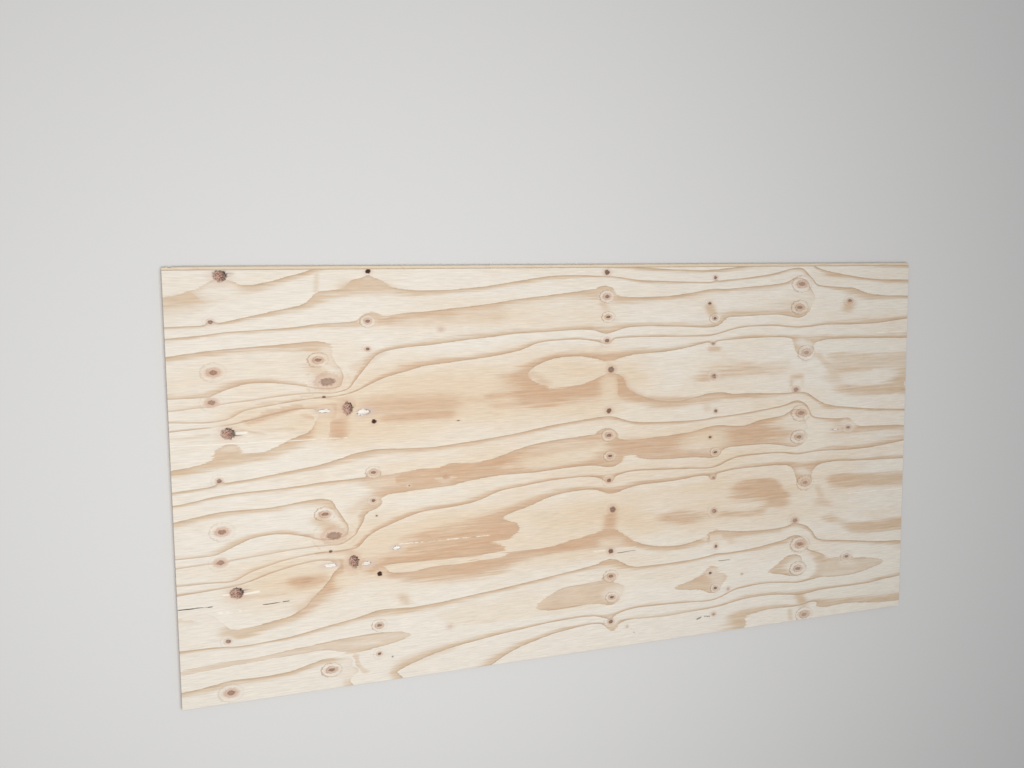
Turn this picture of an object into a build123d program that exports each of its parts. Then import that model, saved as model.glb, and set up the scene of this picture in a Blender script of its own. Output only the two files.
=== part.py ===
from build123d import *
import os

# One tongued and grooved softwood plywood sheet, lying flat with its good face up.
# +X runs along the face grain and the length, +Y across the sheet towards the tongue,
# and +Z out of the good face. The origin is the centre of the whole sheet, on its lower face.

# Sheet
length = 2440.0
cover_width = 1210.0
thickness = 18.0
arris = 0.4

# Tongue, along the whole of one long edge
tongue_length = 10.0
tongue_thickness = 6.0
tongue_nose = 1.5

# Groove, along the whole of the other long edge
side_clearance = 0.2
end_clearance = 1.0
groove_lead_in = 0.5

# Places that follow from the sizes
half_length = length / 2
half_width = (cover_width + tongue_length) / 2
shoulder_y = half_width - tongue_length
mid_z = thickness / 2
tongue_half = tongue_thickness / 2
groove_half = tongue_half + side_clearance
groove_depth = tongue_length + end_clearance


def section_points():
    """Corners of the section, as (y, z), anticlockwise from the lower face's groove side."""
    lower_face = [(-half_width + arris, 0), (shoulder_y - arris, 0)]
    tongue = [
        (shoulder_y, arris),
        (shoulder_y, mid_z - tongue_half),
        (half_width - tongue_nose, mid_z - tongue_half),
        (half_width, mid_z - tongue_half + tongue_nose),
        (half_width, mid_z + tongue_half - tongue_nose),
        (half_width - tongue_nose, mid_z + tongue_half),
        (shoulder_y, mid_z + tongue_half),
        (shoulder_y, thickness - arris),
    ]
    upper_face = [(shoulder_y - arris, thickness), (-half_width + arris, thickness)]
    groove = [
        (-half_width, thickness - arris),
        (-half_width, mid_z + groove_half + groove_lead_in),
        (-half_width + groove_lead_in, mid_z + groove_half),
        (-half_width + groove_depth, mid_z + groove_half),
        (-half_width + groove_depth, mid_z - groove_half),
        (-half_width + groove_lead_in, mid_z - groove_half),
        (-half_width, mid_z - groove_half - groove_lead_in),
        (-half_width, arris),
    ]
    return lower_face + tongue + upper_face + groove


def plywood_sheet():
    """The glued sheet: its section carried along the length, with the sawn ends' face arrises eased."""
    section_plane = Plane(origin=(-half_length, 0, 0), x_dir=(0, 1, 0), z_dir=(1, 0, 0))
    section = section_plane * make_face(Polyline(*section_points(), close=True))
    sheet = extrude(section, amount=length, dir=(1, 0, 0))
    across = sheet.edges().filter_by(Axis.Y)
    sawn_arrises = across.group_by(Axis.Z)[0] + across.group_by(Axis.Z)[-1]
    return chamfer(sawn_arrises, arris)


os.makedirs("parts", exist_ok=True)
export_step(plywood_sheet(), "parts/plywood_sheet.step")
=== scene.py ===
from functools import partial

import bpy
import numpy as np
from mathutils import Matrix, Vector


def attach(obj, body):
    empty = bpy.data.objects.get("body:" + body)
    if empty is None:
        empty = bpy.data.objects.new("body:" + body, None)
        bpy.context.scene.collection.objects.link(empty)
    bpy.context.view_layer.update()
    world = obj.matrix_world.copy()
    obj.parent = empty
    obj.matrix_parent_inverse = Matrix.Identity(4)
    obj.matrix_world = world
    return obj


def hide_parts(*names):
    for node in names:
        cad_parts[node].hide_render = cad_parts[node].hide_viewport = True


# A tongued and grooved sheet of softwood plywood, lying flat with its good face up.
# Lengths are in millimetres until they go into a mesh, which is in metres.
# Readings on the good face are taken from the left end and up from the groove edge.

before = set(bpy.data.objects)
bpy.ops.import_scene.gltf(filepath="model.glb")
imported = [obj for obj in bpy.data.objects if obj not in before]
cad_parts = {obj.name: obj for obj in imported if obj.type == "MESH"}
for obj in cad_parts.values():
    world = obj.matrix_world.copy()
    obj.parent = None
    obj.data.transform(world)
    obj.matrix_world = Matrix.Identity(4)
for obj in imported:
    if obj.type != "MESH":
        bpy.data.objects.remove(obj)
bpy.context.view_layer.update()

mm = 0.001

# The sheet, as in the CAD part
half_length = 1220.0
groove_edge = -610.0
shoulder = 600.0
tongue_tip = 610.0
thickness = 18.0
arris = 0.4
groove_floor = -599.0
groove_under, groove_over = 5.8, 12.2
tongue_under, tongue_over = 6.0, 12.0
tongue_nose = 1.5
ply_count = 7
ply = thickness / ply_count

# Grid of the skin
fine_step, coarse_step, fine_reach = 4.4, 13.0, 46.0
station_count = 296
trial_count = 6001
face_rows = 218
back_every = 6

# The peeled log: the veneer unrolls from a spiral, so each branch shows once a turn, further down the sheet
outer_radius = 66.72
peel_per_turn = 3.18
drift_per_turn = 5.5
turn_count = 3
top_edge = 1210.0

# Each branch, and each other spot that recurs as the log turns: share of a turn, place along the sheet in the
# middle turn, half length and half width of its heart, and how far it dips the rings; then how dark, how red,
# how torn, how loose and how ringed it is
branches = [
    (0.038, 152, 19, 15, 0.1, 0, 0.1, 0, 1, 0),
    (0.329, 124, 7, 5.5, 0.25, 0.7, 0.3, 0, 0.35, 0.2),
    (0.648, 126, 12, 7, 0.3, 0.64, 0.9, 0, 0, 0.4),
    (0.837, 118, 11, 7, 0.2, 0.6, 0.8, 0, 0, 0.2),
    (0.593, 409, 11, 5, 0.5, 0.7, 0.8, 0, 0, 1),
    (0.737, 433, 24, 12, 0.3, 0.62, 0.9, 0, 0, 0.4),
    (0.836, 422, 6, 3.5, 0.1, 0.9, 0.3, 0, 0, 0),
    (0.925, 421, 18, 5, 0.1, 0, 0, 1, 0, 0),
    (0.919, 488, 15, 18, 0.1, 0, 0.4, 0, 1, 0),
    (0.013, 557, 8, 7.5, 0.1, 1, 0, 0, 0, 0),
    (0.347, 552, 8, 5, 0.8, 0.7, 0.6, 0, 0, 0.8),
    (0.532, 550, 6, 4.5, 0.1, 0.8, 0.5, 0, 0, 0.3),
    (0.414, 767, 8, 6, 0.05, 0.12, 0.1, 0, 0, 0),
    (0.034, 1299, 9, 8, 0, 0.85, 0.25, 0, 0.12, 0),
    (0.21, 1299, 9, 5.5, 0.8, 0.72, 0.7, 0, 0, 0.9),
    (0.359, 1303, 8, 4.5, 0.5, 0.8, 0.5, 0, 0, 1),
    (0.53, 1299, 8, 6, 0.5, 0.78, 0.6, 0, 0, 0.3),
    (0.74, 1312, 11, 10, 0, 0.75, 0.3, 0, 0.2, 0.1),
    (0.083, 1681, 6, 6, 0.2, 0.75, 0.4, 0, 0, 0.1),
    (0.275, 1661, 6, 4.5, 0.3, 0.85, 0.4, 0, 0, 0.2),
    (0.389, 1681, 7, 4.5, 0.6, 0.8, 0.4, 0, 0, 1),
    (0.578, 1675, 6, 4.5, 0.3, 0.5, 0.4, 0, 0, 0.3),
    (0.824, 1678, 8, 7, 0.1, 0.35, 0.5, 0, 0.6, 0.3),
    (0.139, 2010, 14, 7, 0.5, 0.52, 0.8, 0, 0, 0.8),
    (0.322, 2003, 12, 6, 0.6, 0.55, 0.5, 0, 0, 1),
    (0.675, 2032, 12, 7, 0.5, 0.42, 0.5, 0, 0, 0.8),
    (0.956, 1993, 10, 7, 0.1, 0.5, 0.5, 0, 0.2, 0.2),
    (0.276, 2203, 9, 5.5, 0.3, 0.6, 0.4, 0, 0, 0.4),
]

# Other spots: place along and up the sheet, half length and half width, then the other six looks in order
torn = (0.0, 0.0, 0.0, 1.0, 0.0, 0.0)
fleck = (0.0, 0.7, 0.0, 0.0, 0.0, 0.0)
faint = (0.0, 0.3, 0.1, 0.0, 0.0, 0.0)
other_spots = [
    (526, 804, 21, 9, *torn), (524, 361, 14, 6, *torn), (614, 398, 12, 6, *torn), (2150, 655, 13, 3, *torn),
    (657, 580, 3, 3, *fleck), (558, 499, 3.5, 3, *fleck), (595, 70, 3, 3, *fleck), (810, 763, 6, 2, *fleck),
    (1735, 143, 6, 5, *faint), (1363, 62, 5, 4, *faint), (1788, 188, 5, 4, *faint),
]

# Long marks: from (along, up) to (along, up), half width, shade from -1 dark to 1 pale, and share left out
marks = [
    (0, 738, 480, 733, 0.9, 1, 0.25), (2310, 982, 2440, 982, 1.1, 0.9, 0.3),
    (600, 408, 905, 407, 1.3, 1, 0.45), (2200, 427, 2440, 427, 1.1, 0.9, 0.35),
    (0, 285, 95, 284, 1.2, -1, 0.35), (225, 274, 303, 275, 1.1, -0.9, 0.35),
    (1695, 243, 1742, 242, 0.9, -0.8, 0.25), (284, 381, 282, 360, 1.6, -0.7, 0.35),
    (1325, 308, 1400, 311, 1, -0.8, 0.2), (1316, 319, 1398, 321, 1.8, 1, 0.2),
    (1240, 322, 1288, 320, 1.4, 0.9, 0.3), (176, 310, 222, 313, 2.8, 1, 0.1),
    (118, 314, 140, 312, 1.8, 1, 0.2), (170, 765, 206, 765, 3.2, 1, 0.05),
    (1615, 53, 1640, 60, 2.2, -0.7, 0.2), (1640, 60, 1668, 57, 1.8, -0.6, 0.3),
    (1374, 56, 1393, 30, 2, -0.35, 0.3), (0, 1028, 110, 1029, 1.4, 0.6, 0.5),
    (60, 266, 170, 262, 3, 0.8, 0.45),
]

# Tan strokes, where the knife ran along the latewood: from (along, up) to (along, up), half width and
# strength. A minus clears the tan that the rings would give.
strokes = [
    (0, 1112, 50, 1122, 28, 0.55), (500, 1158, 590, 1156, 20, 0.75), (403, 1150, 407, 1200, 4, 0.5),
    (515, 935, 575, 968, 12, 0.5), (640, 1060, 930, 1072, 18, 0.4), (560, 816, 775, 818, 26, 0.75),
    (600, 784, 775, 786, 15, 0.9), (560, 845, 750, 845, 8, 0.4), (910, 830, 1040, 832, 10, 0.8),
    (930, 804, 1040, 803, 12, 0.5), (960, 890, 1030, 885, 12, 0.6), (800, 824, 900, 822, 10, 0.35),
    (453, 742, 455, 775, 15, 0.95), (340, 322, 385, 328, 17, 0.75), (345, 250, 378, 272, 18, 0.7),
    (390, 285, 415, 300, 8, 0.6), (0, 258, 45, 258, 14, 0.5), (170, 300, 290, 297, 5, 0.4),
    (210, 792, 350, 828, 7, 0.9), (250, 818, 345, 834, 6, 0.7), (190, 772, 250, 757, 3, 0.7),
    (250, 768, 330, 767, 3, 0.6), (0, 756, 120, 765, 4, 0.5), (230, 842, 350, 850, 5, 0.6),
    (360, 803, 395, 793, 6, 0.6), (350, 860, 480, 842, 4, 0.5), (385, 404, 480, 400, 5, 0.6),
    (398, 500, 418, 480, 15, 0.95), (388, 940, 410, 920, 14, 0.6), (490, 520, 528, 548, 12, 0.5),
    (590, 366, 720, 364, 9, 1), (600, 318, 820, 303, 7, 0.8), (1045, 893, 1085, 862, 11, 0.5),
    (1305, 428, 1300, 388, 12, 0.95), (1662, 946, 1684, 946, 8, 1), (1657, 1082, 1664, 1060, 11, 1),
    (2195, 1082, 2190, 1066, 13, 1), (1980, 843, 2002, 844, 9, 1), (1969, 812, 1970, 834, 4, 0.6),
    (2013, 818, 2014, 834, 4, 0.4), (2082, 462, 2096, 428, 7, 0.6), (2095, 410, 2122, 400, 13, 0.6),
    (2088, 374, 2106, 372, 8, 0.5), (1755, 30, 1775, 46, 13, 0.6), (2018, 84, 2032, 58, 12, 1),
    (1978, 40, 1983, 8, 5, 0.6), (1664, 340, 1690, 346, 3, 0.9), (1658, 310, 1660, 332, 3, 0.9),
    (1735, 880, 1850, 868, 7, 0.5), (1760, 858, 1860, 862, 5, 0.5), (1850, 888, 1950, 892, 8, 0.4),
    (2130, 852, 2290, 856, 6, 0.7), (2075, 912, 2120, 870, 11, 0.6), (2120, 870, 2150, 832, 12, 0.6),
    (2160, 792, 2320, 790, 10, 0.6), (2050, 965, 2440, 968, 5, 0.4), (1343, 868, 1346, 815, 10, 0.6),
    (1352, 832, 1400, 803, 13, 0.8), (1400, 796, 1640, 784, 11, 0.9), (1645, 788, 1649, 752, 8, 0.5),
    (1740, 790, 1950, 786, 5, 0.6), (1400, 322, 1500, 303, 9, 0.6), (1500, 303, 1630, 311, 7, 0.7),
    (1720, 326, 1930, 322, 7, 0.8), (1738, 316, 1745, 302, 9, 0.5), (2072, 230, 2110, 208, 10, 0.85),
    (484, 88, 486, 62, 7, 0.7), (490, 58, 512, 36, 6, 0.7), (628, 250, 640, 230, 9, 0.7),
    (640, 52, 760, 74, 14, 0.5), (700, 300, 950, 306, 11, 0.6), (1278, 1102, 1288, 1086, 8, 0.6),
    (1972, 1082, 2004, 1074, 19, 0.5), (650, 598, 920, 610, 16, 1), (1000, 645, 1240, 668, 16, 0.5),
    (1360, 655, 1460, 655, 18, 0.95), (1080, 180, 1240, 185, 40, -0.35), (430, 120, 620, 130, 30, -0.3),
    (2120, 175, 2340, 170, 30, -0.35), (2100, 882, 2440, 882, 25, -0.35), (1400, 85, 1600, 88, 12, -0.4),
    (1630, 654, 1670, 648, 32, -0.85), (585, 600, 610, 600, 20, -0.5), (0, 830, 360, 855, 40, -0.38),
    (0, 385, 360, 405, 40, -0.38), (405, 745, 410, 800, 13, -0.9), (122, 755, 124, 785, 9, -0.8),
    (125, 1150, 165, 1152, 22, -0.9), (455, 30, 460, 75, 20, -0.8), (600, 341, 900, 342, 5, -0.7),
    (480, 715, 560, 745, 22, -0.5), (1285, 345, 1325, 345, 14, -0.8), (1262, 316, 1400, 316, 5, -0.7),
    (430, 985, 456, 928, 12, -0.7), (738, 594, 758, 595, 4, -0.9), (785, 594, 800, 594, 4, -0.8),
    (1310, 178, 1325, 182, 25, -0.9), (1298, 858, 1302, 808, 17, -0.9), (2008, 958, 2028, 950, 13, -0.95),
    (2014, 522, 2034, 512, 13, -0.95), (1640, 470, 1665, 455, 22, -0.9), (1900, 392, 2085, 372, 15, -1),
    (1650, 325, 1695, 322, 11, -0.85), (1985, 690, 2015, 672, 26, -0.9), (1995, 632, 2010, 628, 20, -0.7),
    (2030, 1105, 2040, 1095, 26, -0.85), (2190, 676, 2215, 670, 13, -0.85),
    (2205, 215, 2212, 206, 12, -0.8), (2198, 182, 2224, 174, 18, -0.6), (2115, 149, 2240, 147, 8, -0.6),
    (2005, 200, 2025, 180, 24, -0.7), (1690, 205, 1700, 165, 16, -0.5), (0, 276, 60, 266, 18, -0.95),
    (62, 268, 112, 230, 15, -0.95), (0, 108, 380, 124, 14, -0.35), (1985, 255, 2040, 262, 14, -0.6),
]

# Zones where the whole face is warmer, or paler with a minus, given as the strokes are
warm_zones = [
    (520, 805, 1250, 850, 120, 1), (620, 400, 1300, 420, 120, 1), (640, 600, 1850, 680, 55, 0.85),
    (100, 900, 400, 940, 80, 0.4), (200, 810, 420, 830, 50, 0.7), (250, 330, 420, 330, 70, 0.7),
    (1500, 470, 1950, 470, 70, 0.7), (1150, 560, 1650, 560, 300, 0.5), (0, 50, 2440, 50, 100, -0.5),
    (385, 364, 460, 366, 19, -0.5), (380, 812, 465, 814, 22, -0.5), (650, 1060, 1250, 1080, 50, 0.5),
    (120, 1100, 380, 1125, 40, -0.6), (850, 170, 1300, 175, 50, 0.4),
]

# Ring lines on the good face, read one by one: the ring's number, then along and up of each point on the
# line.
# The tan latewood lies on the side where the number is still below the line's own.
ring_lines = [
    # Top loop
    (3, 0, 1138, 50, 1150, 100, 1165, 130, 1176, 180, 1176, 230, 1168, 280, 1178, 330, 1192, 380, 1205),
    (3, 2050, 1209, 2090, 1198, 2150, 1187, 2200, 1178, 2250, 1170, 2300, 1166, 2350, 1163, 2440, 1162),
    (2, 0, 1060, 100, 1062, 150, 1070, 250, 1090, 300, 1100, 370, 1114, 395, 1140, 410, 1152, 470, 1152,
     484, 1156, 492, 1178, 545, 1190, 588, 1180, 610, 1162, 650, 1151, 700, 1147, 800, 1150, 900, 1157,
     1000, 1172, 1100, 1186, 1200, 1189, 1250, 1185, 1310, 1184, 1400, 1171, 1500, 1167, 1600, 1163,
     1660, 1161, 1700, 1167, 1800, 1175, 1900, 1188, 1970, 1203, 2010, 1208, 2035, 1175, 2060, 1148,
     2100, 1145, 2150, 1141, 2175, 1136, 2200, 1142, 2230, 1132, 2260, 1120, 2300, 1112, 2350, 1109,
     2440, 1106),
    (1, 0, 1030, 100, 1036, 150, 1043, 250, 1047, 350, 1052, 400, 1059, 500, 1061, 522, 1068, 532, 1084,
     555, 1092, 574, 1088, 580, 1076, 600, 1068, 650, 1084, 700, 1086, 800, 1095, 900, 1105, 1000, 1118,
     1100, 1129, 1200, 1139, 1258, 1146, 1270, 1154, 1290, 1158, 1308, 1152, 1317, 1140, 1321, 1122,
     1400, 1117, 1500, 1119, 1600, 1130, 1670, 1143, 1700, 1138, 1800, 1145, 1900, 1152, 1950, 1157,
     1990, 1175, 2025, 1165, 2050, 1120),
    (0, 0, 980, 50, 987, 100, 992, 200, 999, 300, 1005, 400, 1012, 420, 1010, 432, 1003, 440, 988,
     444, 968, 452, 948, 465, 932, 472, 905),
    (0, 0, 865, 100, 866, 150, 885, 200, 899, 250, 901, 300, 896, 350, 888, 400, 878, 470, 880),
    (1, 0, 832, 130, 845, 200, 850, 300, 860, 400, 866, 440, 857, 480, 868, 500, 890, 540, 935, 570, 968,
     600, 978, 650, 984, 700, 987, 800, 997, 900, 1006, 1000, 1015, 1100, 1018, 1200, 1022, 1250, 1020,
     1290, 1003, 1310, 1008, 1350, 1023, 1400, 1026, 1500, 1024, 1600, 1019, 1680, 1016, 1700, 1028,
     1720, 1048, 1800, 1050, 1900, 1053, 1950, 1048, 1975, 1040, 2000, 1038, 2025, 1052, 2058, 1100),
    (2, 0, 802, 100, 796, 150, 800, 200, 826, 300, 840, 350, 846, 400, 850, 500, 863, 550, 883, 600, 903,
     650, 914, 700, 928, 800, 938, 900, 947, 1000, 962, 1030, 972, 1060, 985, 1100, 990, 1200, 993,
     1240, 988, 1270, 978, 1320, 993, 1400, 993, 1500, 991, 1600, 989, 1660, 988, 1700, 998, 1750, 1010,
     1800, 1015, 1900, 1016, 1950, 1010, 2000, 1006, 2050, 1010, 2100, 1015, 2200, 1012, 2300, 1014,
     2350, 1018, 2440, 1028),
    (3, 0, 777, 100, 783, 200, 795, 250, 805, 300, 815, 340, 822),
    (3, 1030, 893, 1050, 913, 1100, 933, 1150, 939, 1200, 940, 1250, 933, 1290, 908, 1310, 922, 1350, 933,
     1400, 940, 1500, 944, 1550, 950, 1600, 959, 1640, 968, 1700, 973, 1800, 978, 1950, 978, 1966, 970,
     1975, 950, 1985, 932, 2022, 918, 2048, 932, 2056, 948, 2072, 958, 2100, 965, 2200, 966, 2300, 964,
     2440, 960),
    # Middle loop
    (3, 0, 672, 50, 678, 100, 690, 115, 720, 150, 735, 178, 722, 190, 707, 250, 706, 300, 730, 350, 750,
     370, 752, 390, 775, 400, 800),
    (3, 1085, 858, 1100, 845, 1150, 847, 1200, 852, 1250, 866, 1290, 884, 1325, 882, 1348, 874, 1356, 855,
     1362, 835, 1400, 812, 1450, 795, 1500, 786, 1550, 784, 1600, 793, 1650, 803, 1700, 806, 1750, 797,
     1800, 797, 1900, 792, 1960, 789, 2030, 790, 2060, 768, 2100, 748, 2150, 737, 2200, 730, 2300, 719,
     2440, 711),
    (2, 0, 613, 100, 620, 150, 630, 200, 633, 300, 647, 400, 660, 450, 673, 500, 687, 550, 694, 600, 693,
     700, 689, 750, 690, 800, 695, 900, 703, 1000, 714, 1050, 723, 1100, 731, 1200, 741, 1300, 750,
     1330, 742, 1370, 728, 1400, 724, 1500, 719, 1600, 718, 1650, 720, 1680, 727, 1700, 724, 1800, 733,
     1900, 744, 1950, 750, 1980, 762, 2000, 767, 2030, 748, 2040, 715, 2055, 703, 2100, 699, 2150, 692,
     2180, 690, 2200, 699, 2232, 672, 2250, 661, 2300, 659, 2400, 656, 2440, 653),
    (1, 0, 576, 50, 582, 100, 592, 150, 597, 200, 599, 300, 602, 400, 610, 500, 614, 600, 616, 650, 624,
     700, 627, 750, 627, 790, 640, 850, 630, 900, 640, 950, 650, 1000, 667, 1050, 677, 1100, 684,
     1200, 691, 1250, 694, 1275, 708, 1300, 715, 1312, 700, 1330, 675, 1350, 670, 1400, 670, 1500, 674,
     1600, 682, 1650, 694, 1680, 699, 1750, 692, 1800, 692, 1850, 706, 1900, 711, 1950, 715, 1990, 740,
     2020, 715, 2040, 665),
    (0, 0, 530, 50, 538, 100, 546, 150, 550, 250, 548, 300, 553, 350, 560, 400, 564, 430, 555, 445, 530,
     475, 480, 476, 450),
    (0, 0, 425, 100, 425, 150, 445, 200, 465, 250, 472, 300, 470, 350, 458, 400, 445),
    (1, 0, 400, 200, 412, 300, 420, 400, 426, 440, 422, 470, 432, 487, 448, 505, 468, 520, 492, 532, 512,
     548, 516, 564, 519, 575, 530, 575, 543, 568, 553, 600, 558, 640, 560, 700, 565, 800, 571, 830, 578,
     900, 586, 950, 590, 1050, 588, 1150, 595, 1250, 598, 1275, 590, 1310, 583, 1340, 598, 1350, 626,
     1370, 625, 1400, 613, 1420, 604, 1450, 600, 1550, 597, 1600, 597, 1650, 594, 1670, 588, 1690, 592,
     1700, 612, 1720, 620, 1850, 622, 1900, 620, 1950, 612, 1970, 605, 2000, 605, 2020, 615),
    (2, 500, 410, 530, 440, 560, 455, 600, 470, 650, 487, 700, 500, 750, 503, 800, 506, 850, 512, 900, 527,
     920, 537, 950, 543, 1000, 548, 1050, 555, 1100, 560, 1200, 563, 1250, 560, 1290, 545, 1310, 553,
     1330, 560, 1370, 568, 1400, 568, 1500, 564, 1600, 560, 1650, 556, 1680, 556, 1700, 564, 1730, 578,
     1760, 586, 1800, 588, 1900, 590, 1950, 588, 1970, 581, 2000, 578, 2050, 583, 2100, 585, 2200, 580,
     2300, 583, 2350, 588, 2440, 598),
    (3, 938, 458, 960, 468, 1000, 477, 1050, 492, 1100, 510, 1150, 517, 1200, 521, 1250, 522, 1290, 502,
     1310, 497, 1340, 508, 1370, 517, 1400, 522, 1500, 524, 1550, 527, 1600, 533, 1640, 538, 1665, 525,
     1690, 537, 1700, 541, 1750, 546, 1800, 547, 1900, 548, 1955, 546, 1968, 542, 1982, 528, 1990, 508,
     1998, 488, 2027, 474, 2052, 488, 2058, 508, 2070, 527, 2085, 537, 2100, 542, 2150, 545, 2200, 543,
     2300, 538, 2440, 536),
    (2, 0, 350, 100, 350, 150, 345, 200, 370, 300, 395, 400, 405, 440, 403),
    (3, 0, 325, 100, 330, 200, 345, 250, 360, 300, 372, 380, 385),
    (3, 560, 352, 600, 350, 700, 348, 850, 347, 900, 350, 935, 355, 945, 364),
    (3, 890, 378, 950, 388, 990, 402, 1003, 425, 985, 440),
    # Bottom loop
    (3, 0, 282, 50, 274, 90, 256, 115, 232, 124, 213, 200, 215, 300, 230, 350, 255, 380, 290, 400, 310,
     420, 340),
    (3, 950, 345, 1000, 347, 1100, 352, 1150, 362, 1200, 372, 1250, 378, 1290, 392, 1330, 382, 1360, 362,
     1400, 335, 1450, 318, 1500, 313, 1550, 308, 1600, 318, 1640, 325, 1665, 345, 1700, 347, 1750, 338,
     1800, 333, 1900, 330, 1950, 332, 1990, 343, 2040, 332, 2060, 310, 2075, 283, 2100, 275, 2150, 269,
     2200, 264, 2250, 257, 2300, 250, 2350, 245, 2440, 240),
    (2, 0, 168, 100, 168, 150, 162, 200, 163, 300, 170, 400, 187, 500, 203, 550, 217, 600, 217, 650, 212,
     700, 215, 750, 218, 800, 224, 900, 234, 1000, 245, 1100, 257, 1200, 270, 1250, 277, 1300, 295,
     1340, 280, 1370, 260, 1400, 254, 1500, 255, 1600, 258, 1650, 262, 1680, 270, 1730, 266, 1800, 270,
     1850, 274, 1900, 282, 1950, 287, 1980, 299, 2010, 302, 2035, 285, 2045, 245, 2100, 227, 2150, 212,
     2180, 207, 2230, 197, 2300, 192, 2350, 182, 2370, 172),
    (1, 0, 113, 100, 121, 200, 123, 300, 131, 400, 142, 500, 148, 600, 147, 640, 137, 655, 130),
    (1, 0, 98, 100, 105, 200, 107, 300, 115, 400, 118, 480, 95, 478, 60, 500, 40, 510, 8),
    (1, 1050, 165, 1070, 185, 1100, 200, 1130, 213, 1160, 220, 1250, 218, 1275, 233, 1283, 215),
    (1, 1050, 160, 1070, 150, 1100, 147, 1200, 150, 1270, 152, 1290, 142, 1310, 136, 1330, 150, 1352, 175,
     1352, 197, 1338, 207),
    (1, 1530, 167, 1600, 190, 1650, 210, 1660, 230, 1672, 234, 1690, 205, 1730, 185),
    (1, 1530, 165, 1550, 160, 1600, 155, 1650, 150, 1670, 136, 1685, 133, 1700, 145, 1730, 183),
    (1, 1890, 180, 1920, 200, 1950, 222, 1990, 237, 2020, 230, 2035, 205, 2045, 185),
    (1, 1890, 178, 1950, 167, 2000, 155, 2030, 162),
    (1, 0, 50, 50, 54, 100, 60, 130, 68, 200, 63, 300, 68, 350, 80, 400, 94, 430, 88, 445, 65, 448, 45,
     460, 20, 470, 2),
    (2, 600, 22, 650, 38, 700, 56, 750, 68, 800, 76, 850, 83, 900, 90, 950, 96, 1000, 100, 1050, 105,
     1100, 110, 1200, 113, 1250, 111, 1270, 103, 1290, 93, 1310, 100, 1340, 113, 1370, 118, 1400, 120,
     1500, 118, 1600, 114, 1650, 110, 1680, 110, 1720, 123, 1760, 138, 1800, 140, 1850, 145, 1900, 145,
     1970, 138, 2000, 132, 2050, 136, 2100, 141, 2150, 138, 2200, 136, 2250, 138, 2300, 148, 2350, 160,
     2370, 170),
    (3, 905, 3, 950, 26, 1000, 46, 1050, 58, 1100, 71, 1150, 78, 1200, 83, 1250, 88, 1275, 85, 1290, 60,
     1310, 52, 1330, 60, 1345, 85, 1400, 82, 1450, 80, 1500, 78, 1550, 80, 1600, 82, 1650, 84, 1700, 86,
     1750, 95, 1800, 101, 1850, 103, 1900, 102, 1950, 98, 1990, 92, 2050, 90, 2100, 97, 2200, 98, 2300, 97,
     2350, 104, 2440, 110),
    (3, 600, 322, 650, 322, 700, 332, 800, 334, 850, 336, 900, 338),
]
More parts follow.
